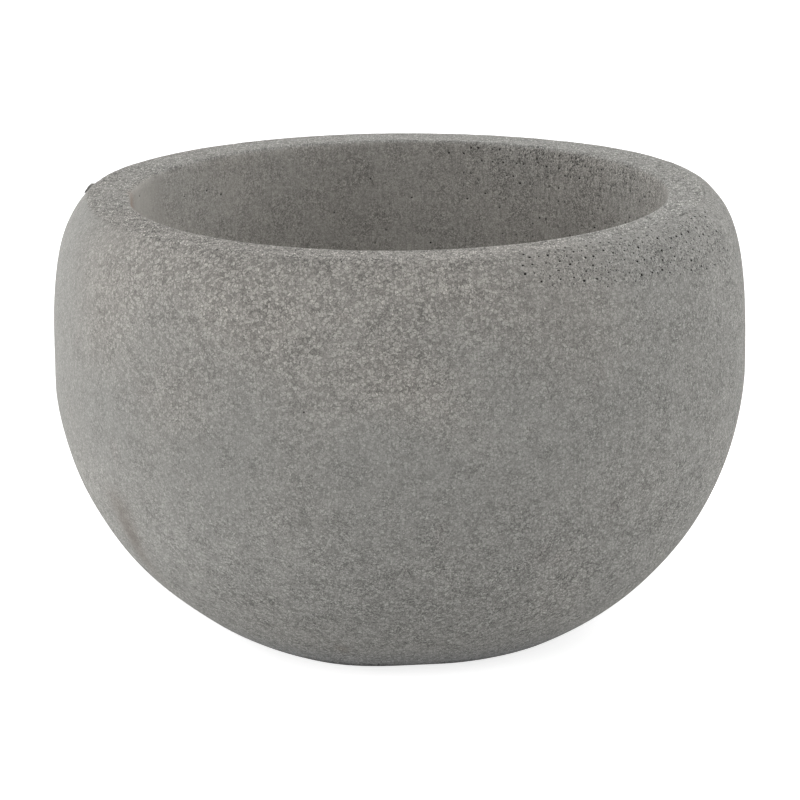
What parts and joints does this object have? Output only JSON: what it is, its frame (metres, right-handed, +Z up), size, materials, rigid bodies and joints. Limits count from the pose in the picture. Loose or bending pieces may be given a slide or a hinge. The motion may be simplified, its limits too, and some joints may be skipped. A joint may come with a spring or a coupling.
{
  "type": "bowl planter",
  "caption": "Round cast concrete bowl planter with an inward-curved shoulder, a level rim, a deep hollow for soil, and a drain hole closed by a lift-out rubber stopper.",
  "frame": {"origin": "centre of the flat foot, on the floor", "axes": "+Z up along the axis that the bowl is round about; the bowl is alike in every direction around it, so +X and +Y are free"},
  "size_m": [0.42, 0.42, 0.2675],
  "materials": {
    "concrete": "cast grey concrete, matt and unsealed, mottled with pale specks and small air holes",
    "rubber": "black moulded rubber, satin"
  },
  "bodies": {
    "bowl": {"concrete_bowl": "concrete"},
    "stopper": {"drain_stopper": "rubber"}
  },
  "joints": [
    {"name": "stopper_lift", "type": "slide", "parent": "bowl", "child": "stopper", "axis": [0, 0, 1], "range_m": [0, 0.27]}
  ]
}
